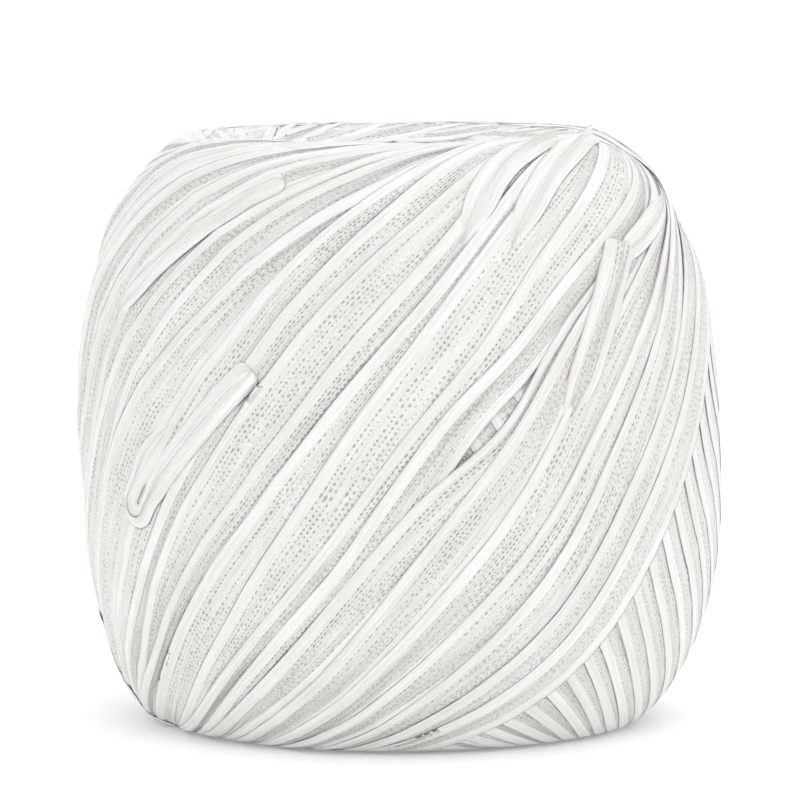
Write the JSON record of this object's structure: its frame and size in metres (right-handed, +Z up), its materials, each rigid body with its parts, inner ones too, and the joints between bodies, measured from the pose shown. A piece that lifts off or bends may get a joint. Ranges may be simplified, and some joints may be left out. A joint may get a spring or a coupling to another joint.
{
  "type": "cross-wound ball of ribbon yarn",
  "caption": "Barrel-shaped ball of flat ribbon yarn, cross-wound in slanting turns with a hollow in each end, standing on one flattened end.",
  "frame": {"origin": "centre of the base that the ball stands on", "axes": "+Z up along the axis the yarn is wound about, -Y the side that the picture shows"},
  "size_m": [0.1006, 0.1004, 0.0923],
  "materials": {
    "ribbon_yarn": "white ribbon with satin edges, an openwork mesh between them and a fine glitter"
  },
  "bodies": {
    "root": {"wound_ball": "ribbon_yarn"}
  },
  "joints": []
}
